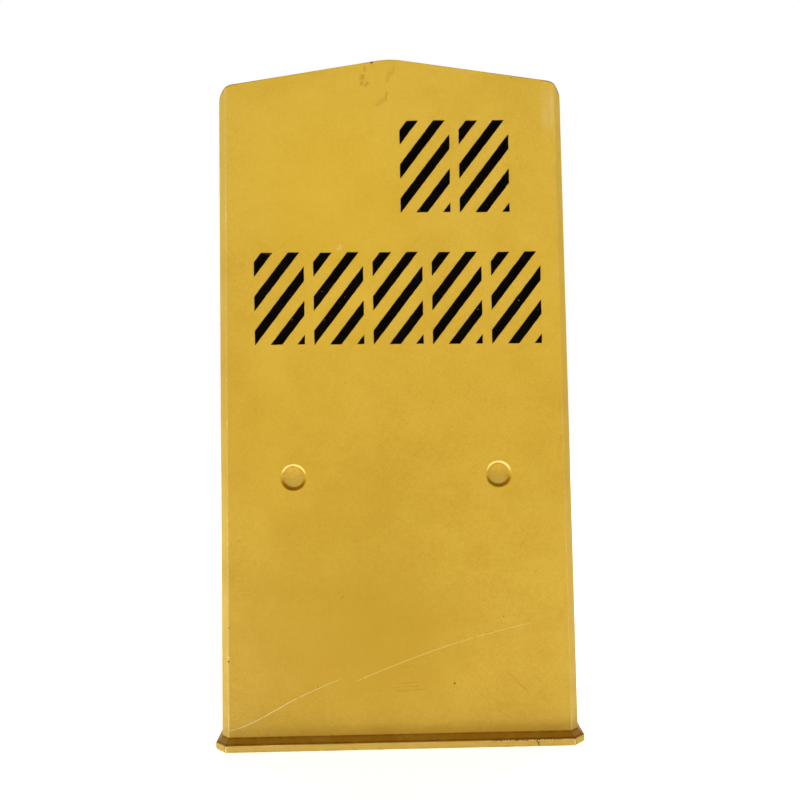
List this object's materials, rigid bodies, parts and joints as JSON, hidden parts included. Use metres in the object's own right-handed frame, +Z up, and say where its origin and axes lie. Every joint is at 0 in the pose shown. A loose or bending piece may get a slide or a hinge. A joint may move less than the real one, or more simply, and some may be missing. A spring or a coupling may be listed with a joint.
{
  "type": "utility marker post",
  "caption": "Hollow moulded marker post with a flat sign face, low gable top, chamfered upright corners, two blind round recesses and a thickened base rim.",
  "frame": {"origin": "middle of the base rim's underside", "axes": "+Z up the post, +X across the sign face to the viewer's right, marked face towards -Y"},
  "size_m": [0.43, 0.15, 0.8],
  "materials": {
    "yellow_moulding": "satin moulded surface, finely mottled, weathered",
    "black_sign_paint": "thin satin black sign paint"
  },
  "bodies": {
    "root": {"post_shell": "yellow_moulding"}
  },
  "joints": []
}
